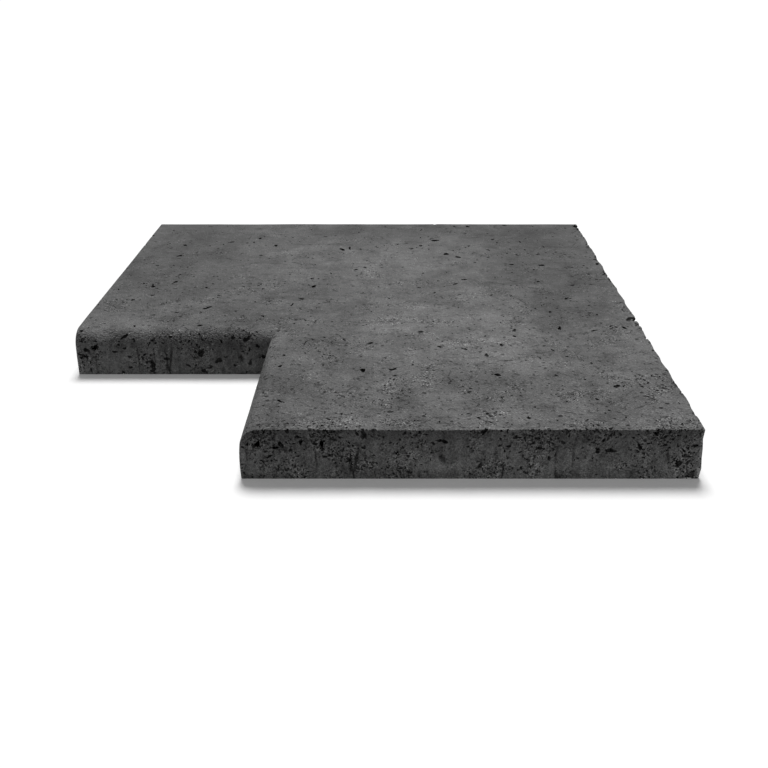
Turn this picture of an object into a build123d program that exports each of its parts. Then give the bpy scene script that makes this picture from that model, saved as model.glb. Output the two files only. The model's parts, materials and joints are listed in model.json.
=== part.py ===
"""Pool coping stone for an inside corner of the pool, cast in one piece.

The stone is a length of coping that turns a right angle round the pool's inside corner. Its section,
a flat slab with a rounded nose over the water, follows the pool's edge and mitres where the edge turns.

Millimetres, +Z up. The origin is the centre of the square that the stone fills, on its underside.
The pool's corner is the open notch towards -X and -Y.
"""

from build123d import *

import math
import os

# Plan
side_length = 500.0  # each outer side of the corner, end joint to outer corner
coping_width = 330.0  # nose to back, the same as the straight stones beside it

# Section
thickness = 40.0
nose_radius = 14.0  # the round from the walking face down to the nose
belly_radius = 130.0  # the gentle bulge of the nose below that round
belly_height = 12.0  # where the nose stands out furthest, above the underside

# Edges
arris_radius = 1.0  # the small round that the mould leaves on the edges that show

# The nose stands out furthest along the pool's edge, one coping's width in from the back.
half_side = side_length / 2
pool_edge = half_side - coping_width

# The nose is two arcs that run into each other: they share a tangent at this angle off upright.
round_centre_height = thickness - nose_radius
lean = math.asin((round_centre_height - belly_height) / (belly_radius - nose_radius))
round_centre_inset = belly_radius - (belly_radius - nose_radius) * math.cos(lean)
round_turn = 90 - math.degrees(lean)
belly_turn = math.degrees(lean + math.asin(belly_height / belly_radius))


with BuildPart() as coping_corner:
    # The section stands on the left end joint, with its nose on the pool's edge and its back outwards.
    left_joint = Plane(origin=(-half_side, pool_edge, 0), x_dir=(0, 1, 0), z_dir=(1, 0, 0))
    with BuildSketch(left_joint):
        with BuildLine():
            nose_round = JernArc((round_centre_inset, thickness), (-1, 0), nose_radius, round_turn)
            belly = JernArc(nose_round @ 1, nose_round % 1, belly_radius, belly_turn)
            Polyline(
                belly @ 1,
                (coping_width, 0),
                (coping_width, thickness),
                nose_round @ 0,
            )
        make_face()

    # It follows the pool's edge to the corner and on to the front end joint, square at the turn.
    with BuildLine():
        pool_line = Polyline(
            (-half_side, pool_edge, 0),
            (pool_edge, pool_edge, 0),
            (pool_edge, -half_side, 0),
        )
    sweep(path=pool_line, transition=Transition.RIGHT)

    # The two backs and the two end joints are upright. The mould rounds all their edges except those of
    # the underside, where the stone was struck off. The mitre in the corner of the nose stays sharp.
    underside = coping_corner.faces().sort_by(Axis.Z)[0]
    upright_faces = coping_corner.faces().filter_by(GeomType.PLANE).filter_by(Axis.Z, reverse=True)
    fillet(upright_faces.edges() - underside.edges(), radius=arris_radius)

coping_corner.part.label = "coping_corner"

os.makedirs("parts", exist_ok=True)
export_step(coping_corner.part, "parts/coping_corner.step")
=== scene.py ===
"""Looks of the pool coping corner stone, cast in anthracite concrete with an open, pitted face.

Metres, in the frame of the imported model: +Z up, with the pool's corner towards -X and -Y.
"""

import json
import math

import bmesh
import bpy
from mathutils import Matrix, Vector


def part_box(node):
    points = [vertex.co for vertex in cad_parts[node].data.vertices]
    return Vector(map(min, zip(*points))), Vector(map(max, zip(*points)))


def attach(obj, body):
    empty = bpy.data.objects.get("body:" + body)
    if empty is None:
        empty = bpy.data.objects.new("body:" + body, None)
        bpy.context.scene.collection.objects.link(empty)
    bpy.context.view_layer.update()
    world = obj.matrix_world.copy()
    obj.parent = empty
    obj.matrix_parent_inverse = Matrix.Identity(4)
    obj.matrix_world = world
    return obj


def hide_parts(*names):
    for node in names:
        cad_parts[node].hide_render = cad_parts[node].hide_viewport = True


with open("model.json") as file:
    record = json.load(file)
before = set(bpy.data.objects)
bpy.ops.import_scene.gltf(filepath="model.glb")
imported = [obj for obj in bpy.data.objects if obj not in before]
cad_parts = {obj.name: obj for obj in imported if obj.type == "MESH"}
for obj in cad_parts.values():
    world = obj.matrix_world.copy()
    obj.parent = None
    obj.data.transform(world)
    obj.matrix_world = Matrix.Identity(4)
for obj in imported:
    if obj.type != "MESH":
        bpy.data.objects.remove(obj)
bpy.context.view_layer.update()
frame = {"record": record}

scene = bpy.context.scene
scene.view_settings.view_transform = "Standard"
micrometre_digits = 6
low, high = (
    Vector([round(value, micrometre_digits) for value in box_corner])
    for box_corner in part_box("coping_corner")
)


# The camera.
# It stands in front of the stone, a little right of its middle, and looks down on the walking face
# with the pool's corner at the left.

photo_width_px = 768
focal_length_px = 924.3
camera_back = 0.8211
camera_height = 0.3628
camera_right = 0.0306
camera_dip = math.radians(21.92)
optical_centre_px = (394.0, 307.2)

camera_data = bpy.data.cameras.new("photo_camera")
camera_data.sensor_width = 36.0
camera_data.lens = focal_length_px / photo_width_px * camera_data.sensor_width
camera_data.shift_x = (photo_width_px / 2 - optical_centre_px[0]) / photo_width_px
camera_data.shift_y = (optical_centre_px[1] - photo_width_px / 2) / photo_width_px
camera = bpy.data.objects.new("photo_camera", camera_data)
camera.location = (camera_right, -camera_back, camera_height)
camera.rotation_euler = (math.radians(90) - camera_dip, 0, 0)
scene.collection.objects.link(camera)
scene.camera = camera


# The light.
# One broad soft lamp hangs overhead and a little behind the stone, so the upright faces in front lie in
# its shade and are lit by the pale floor. The sky adds a little from all round.

sky_level = 0.16
lamp_level = 0.78
lamp_lean = math.radians(25)
lamp_spread = math.radians(22)
white = (1.0, 1.0, 1.0, 1.0)

lamp_data = bpy.data.lights.new("overhead_lamp", "SUN")
lamp_data.energy = lamp_level * math.pi / math.cos(lamp_lean)
lamp_data.angle = lamp_spread
lamp = bpy.data.objects.new("overhead_lamp", lamp_data)
lamp.rotation_euler = (-lamp_lean, 0, 0)
scene.collection.objects.link(lamp)


def put(tree, kind, inputs=None, **settings):
    """Adds a node. An input given as another node's output is joined to it, any other value is set."""
    node = tree.nodes.new(kind)
    for name, value in settings.items():
        setattr(node, name, value)
    for name, value in (inputs or {}).items():
        if isinstance(value, bpy.types.NodeSocket):
            tree.links.new(value, node.inputs[name])
        else:
            node.inputs[name].default_value = value
    return node


def calc(tree, operation, *values):
    """The result of one step of arithmetic."""
    return put(tree, "ShaderNodeMath", dict(enumerate(values)), operation=operation).outputs[0]


def ramp(tree, value, start=0.0, end=1.0, at_start=0.0, at_end=1.0):
    """A value that goes evenly from one result at the start to another at the end, and stays there."""
    limits = {"From Min": start, "From Max": end, "To Min": at_start, "To Max": at_end}
    return put(tree, "ShaderNodeMapRange", {"Value": value, **limits}).outputs[0]


def seen_directly(tree):
    """1 on rays from the camera and in reflections, where the surroundings show as plain white."""
    rays = put(tree, "ShaderNodeLightPath").outputs
    straight = calc(tree, "MAXIMUM", rays["Is Camera Ray"], rays["Is Glossy Ray"])
    return calc(tree, "MAXIMUM", straight, rays["Is Transmission Ray"])


world = bpy.data.worlds.new("studio")
world.use_nodes = True
scene.world = world
studio = world.node_tree
studio.nodes.clear()
sky_strength = ramp(studio, seen_directly(studio), at_start=sky_level, at_end=1.0)
sky = put(studio, "ShaderNodeBackground", {"Color": white, "Strength": sky_strength})
put(studio, "ShaderNodeOutputWorld", {"Surface": sky.outputs[0]})


# The floor.
# A plain pale sheet under the stone. It shows white and keeps the stone's shadow, and the light that it
# sends back up on to the stone is that of a duller sheet.

floor_reach = 9.0
floor_gap = 0.0002
floor_bounce = 0.35
floor_lift = 0.11

floor_mesh = bpy.data.meshes.new("floor")
floor_mesh.from_pydata(
    [
        (x * floor_reach, y * floor_reach, low.z - floor_gap)
        for x, y in ((-1, -1), (1, -1), (1, 1), (-1, 1))
    ],
    [],
    [(0, 1, 2, 3)],
)
floor = bpy.data.objects.new("floor", floor_mesh)
scene.collection.objects.link(floor)

floor_material = bpy.data.materials.new("pale_floor")
floor_material.use_nodes = True
sheet = floor_material.node_tree
sheet.nodes.clear()
shown = seen_directly(sheet)
sheet_shade = ramp(sheet, shown, at_start=floor_bounce, at_end=1.0)
sheet_glow = ramp(sheet, shown, at_start=0.0, at_end=floor_lift)
sheet_matte = put(sheet, "ShaderNodeBsdfDiffuse", {"Color": sheet_shade})
sheet_light = put(sheet, "ShaderNodeEmission", {"Strength": sheet_glow})
sheet_sum = put(sheet, "ShaderNodeAddShader", {0: sheet_matte.outputs[0], 1: sheet_light.outputs[0]})
put(sheet, "ShaderNodeOutputMaterial", {"Surface": sheet_sum.outputs[0]})
floor_mesh.materials.append(floor_material)


# The stone's body.
# One casting: a slab that turns the pool's corner, its section a flat walking face with a rounded nose.
# The mould leaves a small round on the edges that show.

thickness = high.z - low.z
left_joint = next(mount for mount in frame["record"]["mounts"] if mount["name"] == "left_joint")
coping_width = 2 * (high.y - left_joint["pos_m"][1])
pool_edge = high.y - coping_width
nose_radius = 0.014
belly_radius = 0.130
belly_height = 0.012
belly_steps = 8
round_steps = 14
arris_radius = 0.001
arris_steps = 2
least_arris_turn = math.radians(60)
cell_size = 0.008
merge_distance = 1e-6


def nose_outline():
    """Points of the nose's section, from the underside up to the walking face: inset, height."""
    lean = math.asin((thickness - nose_radius - belly_height) / (belly_radius - nose_radius))
    lowest = -math.asin(belly_height / belly_radius)
    round_inset = belly_radius - (belly_radius - nose_radius) * math.cos(lean)
    points = []
    for step in range(belly_steps):
        angle = lowest + (lean - lowest) * step / belly_steps
        points.append(
            (
                belly_radius - belly_radius * math.cos(angle),
                belly_height + belly_radius * math.sin(angle),
            )
        )
    for step in range(round_steps + 1):
        angle = lean + (math.radians(90) - lean) * step / round_steps
        points.append(
            (
                round_inset - nose_radius * math.cos(angle),
                thickness - nose_radius + nose_radius * math.sin(angle),
            )
        )
    return points


def cast_body():
    """The section carried along the pool's edge, mitred at the turn, with its edges eased.

    It is cut into small cells, so that it can be made uneven, but its underside stays one face.
    """
    section = nose_outline() + [(coping_width, thickness), (coping_width, 0.0)]
    body = bmesh.new()
    left, mitre, front = (
        [
            body.verts.new(
                (
                    low.x if end == "left" else pool_edge + inset,
                    low.y if end == "front" else pool_edge + inset,
                    low.z + rise,
                )
            )
            for inset, rise in section
        ]
        for end in ("left", "mitre", "front")
    )
    body.faces.new(left)
    body.faces.new(front)
    for near, far in ((left, mitre), (mitre, front)):
        for here in range(len(section)):
            after = (here + 1) % len(section)
            body.faces.new((near[here], near[after], far[after], far[here]))
    bmesh.ops.recalc_face_normals(body, faces=body.faces)
    eased = [
        edge
        for edge in body.edges
        if edge.is_convex
        and edge.calc_face_angle() > least_arris_turn
        and max(vert.co.z for vert in edge.verts) > low.z + arris_radius
    ]
    bmesh.ops.bevel(
        body, geom=eased, offset=arris_radius, segments=arris_steps, profile=0.5, affect="EDGES"
    )
    for axis in range(3):
        normal = Vector((0, 0, 0))
        normal[axis] = 1
        cells = round((high[axis] - low[axis]) / cell_size)
        for cell in range(1, cells):
            seam = low.copy()
            seam[axis] += (high[axis] - low[axis]) * cell / cells
            bmesh.ops.bisect_plane(
                body,
                geom=body.verts[:] + body.edges[:] + body.faces[:],
                plane_co=seam,
                plane_no=normal,
            )
    bmesh.ops.remove_doubles(body, verts=body.verts, dist=merge_distance)
    underside = [side for side in body.faces if side.normal.z < -0.99]
    bmesh.ops.dissolve_faces(body, faces=underside)
    mesh = bpy.data.meshes.new("coping_stone")
    body.to_mesh(mesh)
    body.free()
    return mesh


stone = bpy.data.objects.new("coping_stone", cast_body())
scene.collection.objects.link(stone)


# The open face.
# Air and water leave the wet concrete through its skin, so it is full of voids: single large ones,
# swarms of small pores, and bites out of the arrises. All of them are cut into the body.

open_face = bpy.data.node_groups.new("open_face", "GeometryNodeTree")
open_face.is_modifier = True
open_face.interface.new_socket("Stone", in_out="OUTPUT", socket_type="NodeSocketGeometry")
open_face.interface.new_socket("Stone", in_out="INPUT", socket_type="NodeSocketGeometry")
for socket_name in (
    "Waviness",
    "Scallops",
    "Void Density",
    "Void Size",
    "Pore Density",
    "Pore Size",
    "Bite Density",
    "Bite Size",
    "Chip Density",
    "Chip Size",
    "Chipped Edge",
):
    open_face.interface.new_socket(socket_name, in_out="INPUT", socket_type="NodeSocketFloat")
open_face.interface.new_socket("Seed", in_out="INPUT", socket_type="NodeSocketInt")
open_face.interface.new_socket("Concrete", in_out="INPUT", socket_type="NodeSocketMaterial")
given = put(open_face, "NodeGroupInput").outputs

top_band = 0.003
bed_band = 0.003
back_band = 0.005
joint_band = 0.004
straight_foot = 0.008
swells_per_metre = 14.0
scallop_size = 0.018
upright_openness = 2.6
front_openness = 1.6
back_openness = 0.40
swarm_size = 0.024
swarm_seed = 5
lump_variants = 5


def product(tree, first, *others):
    """The values multiplied, one after the other."""
    for other in others:
        first = calc(tree, "MULTIPLY", first, other)
    return first


def within(tree, value, lowest, highest):
    """1 where the value lies between the two given, 0 elsewhere."""
    above = calc(tree, "GREATER_THAN", value, lowest)
    return product(tree, above, calc(tree, "LESS_THAN", value, highest))


def vector_calc(tree, operation, *values):
    """The result of one step of vector arithmetic."""
    return put(tree, "ShaderNodeVectorMath", dict(enumerate(values)), operation=operation).outputs[0]


def scaled(tree, vector, amount):
    """The vector times a number."""
    return put(tree, "ShaderNodeVectorMath", {0: vector, "Scale": amount}, operation="SCALE").outputs[0]


def parts_of(tree, vector):
    """The X, Y and Z of a vector."""
    return put(tree, "ShaderNodeSeparateXYZ", {0: vector}).outputs


def patches(tree, where, patch_size, seed, fullness=0.5, edge=0.08):
    """Noise turned into soft-edged patches: 1 inside them, 0 between them."""
    moved = vector_calc(tree, "ADD", where, (seed, -seed, 0.3 * seed))
    noise = put(
        tree, "ShaderNodeTexNoise", {"Vector": moved, "Scale": 1 / patch_size, "Detail": 2.0}
    )
    return ramp(tree, noise.outputs["Fac"], 1 - fullness - edge, 1 - fullness + edge)


def lumps(sides, seed):
    """A set of differing irregular lumps of radius 1, for one of them to be picked at each point.

    Given a number of sides they are pointed pits of that many sides, otherwise rounded lumps.
    """
    pit_length = 2.2
    pit_reach = 1.9
    unevenness = 3.2
    joined = put(open_face, "GeometryNodeGeometryToInstance")
    for variant in range(lump_variants):
        if sides:
            cone = put(
                open_face,
                "GeometryNodeMeshCone",
                {"Vertices": sides, "Radius Top": 1.0, "Radius Bottom": 0.0, "Depth": pit_length},
            )
            solid = put(
                open_face,
                "GeometryNodeTransform",
                {"Geometry": cone.outputs["Mesh"], "Translation": (0.0, 0.0, -pit_reach)},
            ).outputs[0]
        else:
            solid = put(
                open_face, "GeometryNodeMeshIcoSphere", {"Radius": 1.0, "Subdivisions": 2}
            ).outputs["Mesh"]
        on_lump = put(open_face, "GeometryNodeInputPosition").outputs[0]
        noise = put(
            open_face,
            "ShaderNodeTexNoise",
            {"Vector": on_lump, "W": seed + variant * 7.3, "Scale": 1.6, "Detail": 1.0},
            noise_dimensions="4D",
        )
        growth = product(
            open_face, calc(open_face, "SUBTRACT", noise.outputs["Fac"], 0.5), unevenness
        )
        lump = put(
            open_face,
            "GeometryNodeSetPosition",
            {"Geometry": solid, "Offset": scaled(open_face, on_lump, growth)},
        )
        open_face.links.new(lump.outputs[0], joined.inputs[0])
    return joined.outputs[0]


def cutters(surface, density, size, spread, sides, sunk, seed):
    """Lumps strewn over the surface, most of them small. Sunk is how far below it their middles lie."""
    shallowest = 0.25
    deepest = -0.35
    smallness = 2.6
    seed_socket = calc(open_face, "ADD", given["Seed"], float(seed))
    points = put(
        open_face,
        "GeometryNodeDistributePointsOnFaces",
        {"Mesh": surface, "Density": density, "Seed": seed_socket},
        distribute_method="RANDOM",
    )

    def chance(draw, low_value=0.0, high_value=1.0):
        draw_seed = calc(open_face, "ADD", seed_socket, float(draw))
        limits = {2: low_value, 3: high_value, "Seed": draw_seed}
        return put(open_face, "FunctionNodeRandomValue", limits, data_type="FLOAT").outputs[1]

    share = calc(open_face, "POWER", chance(11), smallness)
    radius = product(open_face, calc(open_face, "MULTIPLY_ADD", share, spread, 1.0), size)
    depth = product(open_face, radius, chance(12, deepest - sunk, shallowest - sunk))
    placed = put(
        open_face,
        "GeometryNodeSetPosition",
        {
            "Geometry": points.outputs["Points"],
            "Offset": scaled(open_face, points.outputs["Normal"], depth),
        },
    )
    turn = put(open_face, "ShaderNodeCombineXYZ", {"Z": chance(13, 0.0, 2 * math.pi)})
    turned = put(
        open_face,
        "FunctionNodeRotateRotation",
        {"Rotation": points.outputs["Rotation"], "Rotate By": turn.outputs[0]},
        rotation_space="LOCAL",
    )
    stretch = put(
        open_face,
        "ShaderNodeCombineXYZ",
        {"X": chance(14, 0.8, 1.9), "Y": chance(15, 0.5, 1.0), "Z": chance(16, 0.6, 1.1)},
    )
    pick = put(
        open_face,
        "FunctionNodeRandomValue",
        {5: lump_variants - 1, "Seed": calc(open_face, "ADD", seed_socket, 17.0)},
        data_type="INT",
    )
    return put(
        open_face,
        "GeometryNodeInstanceOnPoints",
        {
            "Points": placed.outputs[0],
            "Instance": lumps(sides, seed),
            "Pick Instance": True,
            "Instance Index": pick.outputs[2],
            "Rotation": turned.outputs[0],
            "Scale": scaled(open_face, stretch.outputs[0], radius),
        },
    ).outputs[0]


# The skin isn't quite flat: it swells and dips a little everywhere but on the underside, and the right
# face is scalloped besides.
place = put(open_face, "GeometryNodeInputPosition").outputs[0]
across, along, height = parts_of(open_face, place)
off_bed = ramp(open_face, height, end=straight_foot)
swell = put(
    open_face, "ShaderNodeTexNoise", {"Vector": place, "Scale": swells_per_metre, "Detail": 2.5}
)
centred_swell = vector_calc(open_face, "SUBTRACT", swell.outputs["Color"], (0.5, 0.5, 0.5))
wave = scaled(open_face, centred_swell, product(open_face, off_bed, given["Waviness"]))
scallops = put(
    open_face, "ShaderNodeTexNoise", {"Vector": place, "Scale": 1 / scallop_size, "Detail": 2.0}
).outputs["Fac"]
at_chipped_edge = calc(open_face, "GREATER_THAN", across, given["Chipped Edge"])
scallop_depth = product(
    open_face,
    product(open_face, off_bed, at_chipped_edge, given["Scallops"]),
    calc(open_face, "SUBTRACT", scallops, 0.5),
)
scallop = put(open_face, "ShaderNodeCombineXYZ", {"X": scallop_depth}).outputs[0]
wavy = put(
    open_face,
    "GeometryNodeSetPosition",
    {"Geometry": given["Stone"], "Offset": vector_calc(open_face, "ADD", wave, scallop)},
).outputs[0]

# Upright faces are more open than the walking face, and the arrises lean between the two. The underside
# and the back arris of the walking face are whole.
face_normal = put(open_face, "GeometryNodeInputNormal").outputs[0]
normal_z = parts_of(open_face, face_normal)["Z"]
slope = calc(open_face, "ABSOLUTE", normal_z)
steepness = ramp(open_face, slope, 0.35, 0.9, at_start=upright_openness, at_end=1.0)
on_top = calc(open_face, "GREATER_THAN", height, high.z - top_band)
back_arris = product(open_face, on_top, calc(open_face, "GREATER_THAN", along, high.y - back_band))
not_whole = product(
    open_face,
    calc(open_face, "GREATER_THAN", normal_z, -0.5),
    calc(open_face, "GREATER_THAN", height, bed_band),
    calc(open_face, "SUBTRACT", 1.0, back_arris),
)
openness = product(open_face, steepness, not_whole)

# The voids are larger on the nose, and on the walking face towards the back, where the pores are fewer.
far_back = product(open_face, on_top, ramp(open_face, along, low.y, high.y))
by_pool = product(
    open_face,
    within(open_face, along, low.y + joint_band, pool_edge + nose_radius),
    within(open_face, across, low.x + joint_band, pool_edge + nose_radius),
)
at_nose = product(open_face, by_pool, calc(open_face, "SUBTRACT", 1.0, on_top))
void_growth = calc(
    open_face, "MULTIPLY_ADD", far_back, 0.55, calc(open_face, "MULTIPLY_ADD", at_nose, 0.45, 1.0)
)
void_size = product(open_face, given["Void Size"], void_growth)
void_crowds = calc(
    open_face,
    "MULTIPLY_ADD",
    patches(open_face, place, patch_size=0.055, seed=3, fullness=0.50, edge=0.15),
    calc(open_face, "MULTIPLY_ADD", far_back, 0.8, 0.8),
    calc(open_face, "MULTIPLY_ADD", at_nose, 0.4, 0.4),
)
void_density = product(open_face, openness, steepness, given["Void Density"], void_crowds)

fewer_back = ramp(open_face, along, low.y, high.y, front_openness, back_openness)
pore_swarms = patches(open_face, place, swarm_size, swarm_seed, fullness=0.42, edge=0.05)
pore_density = product(
    open_face,
    product(open_face, openness, fewer_back, given["Pore Density"]),
    calc(open_face, "MULTIPLY_ADD", pore_swarms, 2.0, 0.14),
)

leaning = product(
    open_face,
    within(open_face, slope, 0.3, 0.93),
    calc(open_face, "MULTIPLY_ADD", by_pool, -0.9, 1.0),
)
arrises = product(open_face, leaning, not_whole)
bite_places = patches(open_face, place, patch_size=0.03, seed=9, fullness=0.5, edge=0.1)
bite_density = product(
    open_face, arrises, product(open_face, given["Bite Density"], bite_places)
)
chip_places = patches(open_face, place, patch_size=0.02, seed=15, fullness=0.66, edge=0.1)
chip_density = product(
    open_face,
    product(open_face, arrises, at_chipped_edge),
    product(open_face, given["Chip Density"], chip_places),
)

cut = put(
    open_face,
    "GeometryNodeMeshBoolean",
    {"Mesh 1": wavy},
    operation="DIFFERENCE",
    solver="MANIFOLD",
)
# Each set of cutters carries how much painted shade the material lays on the pit faces that it cuts.
for lump_set, pit_shade_strength in (
    (cutters(wavy, void_density, void_size, spread=1.9, sides=0, sunk=0.1, seed=20), 1.0),
    (cutters(wavy, pore_density, given["Pore Size"], spread=1.2, sides=6, sunk=0.0, seed=40), 1.0),
    (cutters(wavy, bite_density, given["Bite Size"], spread=2.0, sides=0, sunk=-0.2, seed=60), 0.7),
    (cutters(wavy, chip_density, given["Chip Size"], spread=1.2, sides=0, sunk=-0.45, seed=80), 0.2),
):
    marked = put(
        open_face,
        "GeometryNodeStoreNamedAttribute",
        {
            "Geometry": put(open_face, "GeometryNodeRealizeInstances", {0: lump_set}).outputs[0],
            "Name": "painted_pit_shade",
            "Value": pit_shade_strength,
        },
        data_type="FLOAT",
        domain="FACE",
    )
    open_face.links.new(marked.outputs[0], cut.inputs["Mesh 2"])
realized = put(open_face, "GeometryNodeRealizeInstances", {0: cut.outputs["Mesh"]})
coated = put(
    open_face,
    "GeometryNodeSetMaterial",
    {"Geometry": realized.outputs[0], "Material": given["Concrete"]},
)
put(open_face, "NodeGroupOutput", {"Stone": coated.outputs[0]})

concrete = bpy.data.materials.new("cast_concrete")
concrete.use_nodes = True
face = concrete.node_tree
face.nodes.clear()
spot = put(face, "ShaderNodeTexCoord").outputs["Object"]
spot_parts = parts_of(face, spot)
spot_y, spot_z = spot_parts["Y"], spot_parts["Z"]
level = parts_of(face, put(face, "ShaderNodeNewGeometry").outputs["Normal"])["Z"]
on_side = ramp(face, level, 0.25, 0.85, at_start=1.0, at_end=0.0)


def mottling(patch_size, strength, stretch=(1.0, 1.0, 1.0), detail=3.0, warp=0.0):
    """Noise about 1 that makes the tone vary by the strength given."""
    noise = put(
        face,
        "ShaderNodeTexNoise",
        {
            "Vector": vector_calc(face, "DIVIDE", spot, stretch),
            "Scale": 1 / patch_size,
            "Detail": detail,
            "Distortion": warp,
        },
    )
    return calc(face, "MULTIPLY_ADD", noise.outputs["Fac"], strength, 1 - strength / 2)


def fade(amount, mask):
    """1 where the mask is 0 and the amount given where it is 1."""
    return calc(face, "MULTIPLY_ADD", mask, amount - 1.0, 1.0)


def where_masked(values, mask):
    """1 where the mask is 0 and the values themselves where it is 1."""
    return calc(face, "MULTIPLY_ADD", mask, calc(face, "SUBTRACT", values, 1.0), 1.0)


def layer(under, amount, mask):
    """The tone under it, multiplied by the amount where the mask is 1."""
    return product(face, under, fade(amount, mask))


def ragged(size, reach):
    """The place on the stone, pushed about so that what is drawn there gets a ragged outline."""
    noise = put(face, "ShaderNodeTexNoise", {"Vector": spot, "Scale": 1 / size, "Detail": 2.0})
    push = vector_calc(face, "SUBTRACT", noise.outputs["Color"], (0.5, 0.5, 0.5))
    return vector_calc(face, "MULTIPLY_ADD", push, (reach, reach, reach), spot)


def specks(where, spacing, smallest, largest, share, seed):
    """Scattered spots: 1 in each, 0 between them. Share is the part of the places that holds one."""
    moved = vector_calc(face, "ADD", where, (seed, 0.0, 0.0))
    cells = put(face, "ShaderNodeTexVoronoi", {"Vector": moved, "Scale": 1 / spacing})
    luck = put(face, "ShaderNodeSeparateColor", {0: cells.outputs["Color"]}).outputs
    radius = calc(face, "MULTIPLY_ADD", luck[1], (largest - smallest) / spacing, smallest / spacing)
    near = ramp(face, cells.outputs["Distance"], product(face, radius, 0.6), radius, 1.0, 0.0)
    return product(face, near, calc(face, "LESS_THAN", luck[0], share))


def hair_lines(where, spacing, width, dimensions="3D"):
    """Fine lines that part the face into cells: 1 on a line, 0 off it."""
    cells = put(
        face,
        "ShaderNodeTexVoronoi",
        {"Vector": where, "Scale": 1 / spacing},
        feature="DISTANCE_TO_EDGE",
        voronoi_dimensions=dimensions,
    )
    return ramp(face, cells.outputs["Distance"], 0.3 * width / spacing, width / spacing, 1.0, 0.0)


def wash(middle, reach):
    """A broad soft-edged patch of the walking face: 1 in its middle, 0 beyond its reach."""
    off = vector_calc(face, "SUBTRACT", torn, (*middle, high.z))
    share = vector_calc(face, "DIVIDE", off, (*reach, 0.2))
    distance = put(face, "ShaderNodeVectorMath", {0: share}, operation="LENGTH").outputs["Value"]
    return put(
        face,
        "ShaderNodeMapRange",
        {"Value": distance, "From Min": 0.35, "From Max": 1.0, "To Min": 1.0, "To Max": 0.0},
        interpolation_type="SMOOTHSTEP",
    ).outputs[0]


# Clouds, stains and smears of the cement skin, drawn out the way that the face was trowelled, and
# painted shade over the back of the walking face.
tone = product(face, mottling(0.10, 0.9), mottling(0.030, 0.7, warp=0.6))
torn = ragged(0.006, 0.008)
for shade, middle, reach in (
    (0.70, (-0.22, 0.10), (0.13, 0.19)),
    (0.72, (0.190, 0.09), (0.080, 0.25)),
    # Painted shade: the back of the walking face darker.
    (0.77, (0.0, 0.27), (0.50, 0.12)),
    (1.16, (0.07, -0.05), (0.11, 0.14)),
):
    tone = layer(tone, shade, wash(middle, reach))
trowelled = vector_calc(face, "DIVIDE", torn, (2.0, 1.0, 1.0))
drawn_out = vector_calc(face, "DIVIDE", torn, (1.0, 2.4, 1.0))
tone = layer(tone, 0.85, patches(face, torn, 0.042, seed=51, fullness=0.45, edge=0.05))
tone = layer(tone, 1.20, patches(face, trowelled, 0.018, seed=37, fullness=0.38, edge=0.06))
tone = layer(tone, 0.86, patches(face, drawn_out, 0.014, seed=57, fullness=0.42, edge=0.05))
tone = layer(tone, 0.77, patches(face, trowelled, 0.009, seed=31, fullness=0.38, edge=0.07))
tone = layer(tone, 0.76, patches(face, trowelled, 0.0042, seed=33, fullness=0.30, edge=0.06))

# The skin is rougher where the pores swarm, and smoother towards the back.
swarms_all_over = patches(face, spot, swarm_size, swarm_seed, fullness=0.42, edge=0.05)
swarms_on_sides = patches(face, spot, 0.018, seed=6, fullness=0.40, edge=0.04)
swarms = calc(face, "MAXIMUM", swarms_all_over, product(face, on_side, swarms_on_sides))
tone = layer(tone, 0.92, swarms)
coarse_grain = mottling(0.0028, 1.3, detail=2.0)
grit = mottling(0.0011, 2.0, detail=0.0)
grain = product(face, coarse_grain, grit)
worn = calc(face, "MAXIMUM", ramp(face, spot_y, low.y, high.y, 1.15, 0.50), on_side)
base_roughness = calc(face, "MULTIPLY_ADD", on_side, 0.15, 0.35)
roughness = product(face, calc(face, "MULTIPLY_ADD", swarms, 0.55, base_roughness), worn)
tone = product(face, tone, where_masked(grain, roughness))

# Fine pores in swarms, each ringed by a painted highlight, other pits in clusters, and pale grains of
# sand.
rough_end = ramp(face, spot_y, low.y, high.y, 1.0, 0.12)
pored = product(face, rough_end, calc(face, "MULTIPLY_ADD", swarms, 0.96, 0.04))
frayed = ragged(0.0016, 0.0016)
pores = product(face, specks(frayed, 0.0024, 0.0004, 0.0012, share=0.75, seed=0.0), pored)
pore_rim_highlights = product(face, specks(frayed, 0.0024, 0.0009, 0.0021, share=0.75, seed=0.0), pored)
smooth_skin = product(face, on_side, calc(face, "SUBTRACT", 1.0, swarms))
clusters = patches(face, spot, 0.040, seed=23, fullness=0.50, edge=0.08)
clustered = calc(face, "MULTIPLY_ADD", clusters, 0.55, 0.15)
scattered = product(
    face,
    product(face, rough_end, fade(0.25, smooth_skin)),
    specks(frayed, 0.0062, 0.0006, 0.0021, share=clustered, seed=1.3),
)
pits = calc(face, "MAXIMUM", pores, scattered)
# Painted highlight: a pale ring round each pore.
tone = layer(tone, 1.5, pore_rim_highlights)
tone = layer(tone, 0.16, pits)
sandy = calc(face, "MULTIPLY_ADD", swarms, 0.42, calc(face, "MULTIPLY_ADD", on_side, -0.22, 0.40))
sand = product(face, specks(frayed, 0.0022, 0.0003, 0.0009, share=0.7, seed=3.7), sandy)
tone = layer(tone, 2.4, sand)
tone = layer(tone, 1.25, product(face, sand, on_side))

# Hair cracks that run from pore to pore, and short curls of crazing.
crack_places = patches(face, spot, 0.012, seed=13, fullness=0.38, edge=0.04)
cracks = product(face, hair_lines(ragged(0.022, 0.022), 0.045, 0.0009), crack_places)
crazing_places = patches(face, spot, 0.0045, seed=17, fullness=0.40, edge=0.05)
crazing = product(
    face,
    hair_lines(ragged(0.004, 0.005), 0.0075, 0.0008),
    product(face, rough_end, crazing_places),
)
cracks = calc(face, "MAXIMUM", cracks, crazing)
tone = layer(tone, 0.50, cracks)
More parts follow.
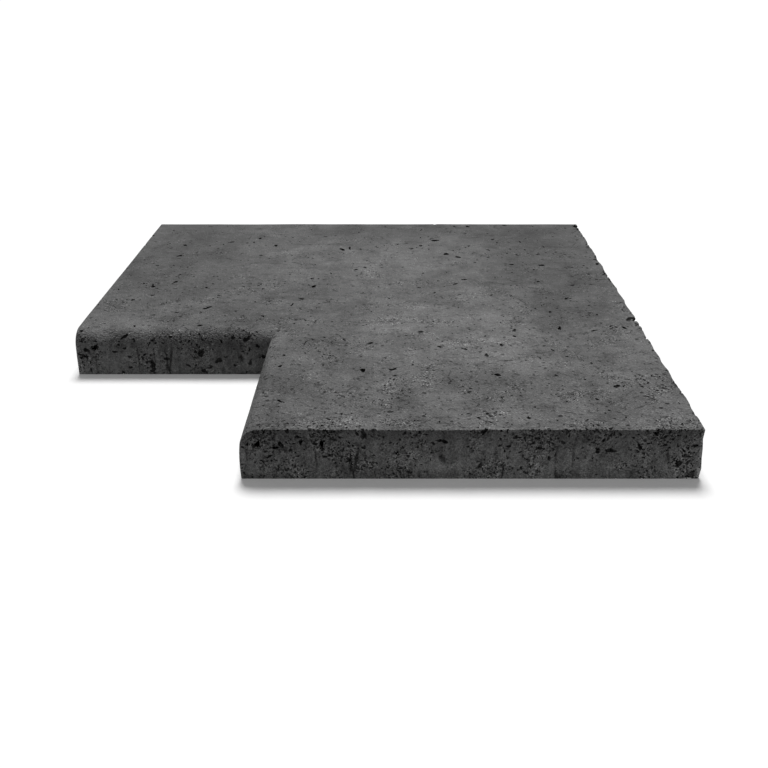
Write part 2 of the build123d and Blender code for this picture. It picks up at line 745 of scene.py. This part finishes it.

# Upright faces: painted bounce light makes them lighter at the foot and darker towards the top, the
# skin is blotched, and water has drawn streaks and runs down it.
streaks = mottling(0.0045, 0.9, stretch=(1.0, 1.0, 6.0), detail=2.0)
# Painted bounce light from the floor: the upright faces lighter at the foot, darker towards the top.
painted_bounce_light = ramp(face, spot_z, 0.0, 0.04, 2.8, 0.88)
tone = product(face, tone, where_masked(product(face, streaks, painted_bounce_light), on_side))
blotches = patches(face, torn, 0.010, seed=41, fullness=0.40, edge=0.06)
tone = layer(tone, 0.76, product(face, on_side, blotches))
frayed_x, frayed_y, frayed_z = parts_of(face, frayed)
drawn_down = put(
    face,
    "ShaderNodeCombineXYZ",
    {
        "X": calc(face, "ADD", frayed_x, frayed_y),
        "Y": calc(face, "DIVIDE", frayed_z, 5.0),
    },
).outputs[0]
low_down = ramp(face, spot_z, 0.020, 0.030, 1.0, 0.0)
run_places = product(
    face,
    product(face, on_side, low_down),
    patches(face, drawn_down, 0.012, seed=45, fullness=0.42, edge=0.05),
)
runs = product(face, hair_lines(drawn_down, 0.0090, 0.0010, "2D"), run_places)
tone = layer(tone, 0.22, runs)
# Painted shade: the upright faces by the pool, off the front face, are a little darker, so that the
# painted bounce light is weaker there.
off_front = calc(face, "GREATER_THAN", frayed_y, low.y + back_band)
pool_side = calc(face, "LESS_THAN", frayed_x, pool_edge + nose_radius)
tone = layer(tone, 0.90, product(face, on_side, product(face, off_front, pool_side)))

# The upright corners get a painted highlight: a broken pale line, as where the eased arris catches
# light.
from_middle = parts_of(face, vector_calc(face, "ABSOLUTE", spot))
near_corner = calc(face, "MINIMUM", from_middle["X"], from_middle["Y"])
painted_corner_highlight = product(
    face,
    ramp(face, near_corner, high.x - 0.0026, high.x - 0.0018),
    patches(face, frayed, 0.003, seed=47, fullness=0.55, edge=0.05),
)
# Painted highlight along the upright corners.
tone = layer(tone, 1.8, painted_corner_highlight)

# Painted shade inside the cut pits: darkest in the voids and pores, less in the bites, faint in the
# chips.
painted_pit_shade = put(face, "ShaderNodeAttribute", attribute_name="painted_pit_shade").outputs["Fac"]
tone = layer(tone, 0.25, painted_pit_shade)

# The grain stands up from the skin, and the pores and cracks lie below it.
fine_grain = mottling(0.0014, 1.0, detail=1.0)
raised = calc(face, "MULTIPLY_ADD", fine_grain, 0.3, product(face, grain, 0.5))
sunken = product(face, calc(face, "MAXIMUM", pits, cracks), 0.8)
relief = product(face, calc(face, "SUBTRACT", raised, sunken), worn)
bump = put(face, "ShaderNodeBump", {"Height": relief, "Strength": 1.0, "Distance": 0.0009})
concrete_grey = 0.144
skin = put(
    face,
    "ShaderNodeBsdfPrincipled",
    {
        "Base Color": product(face, tone, concrete_grey),
        "Roughness": 0.85,
        "Specular IOR Level": 0.15,
        "Normal": bump.outputs[0],
    },
)
put(face, "ShaderNodeOutputMaterial", {"Surface": skin.outputs[0]})


def set_inputs(modifier, values):
    """Sets a modifier's inputs by their names."""
    for socket in modifier.node_group.interface.items_tree:
        if socket.in_out == "INPUT" and socket.name in values:
            modifier[socket.identifier] = values[socket.name]


opening = stone.modifiers.new("open_face", "NODES")
opening.node_group = open_face
set_inputs(
    opening,
    {
        "Waviness": 0.0012,
        "Scallops": 0.0050,
        "Void Density": 900.0,
        "Void Size": 0.00086,
        "Pore Density": 21500.0,
        "Pore Size": 0.00062,
        "Bite Density": 70000.0,
        "Bite Size": 0.0006,
        "Chip Density": 90000.0,
        "Chip Size": 0.0028,
        "Chipped Edge": high.x - 0.003,
        "Seed": 4,
        "Concrete": concrete,
    },
)
stone.data.update()
evaluated = stone.evaluated_get(bpy.context.evaluated_depsgraph_get())
opened = bpy.data.meshes.new_from_object(evaluated)
stone.modifiers.clear()
stone.data = opened
opened.shade_smooth()
opened.set_sharp_from_angle(angle=math.radians(35))

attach(stone, "root")
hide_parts("coping_corner")
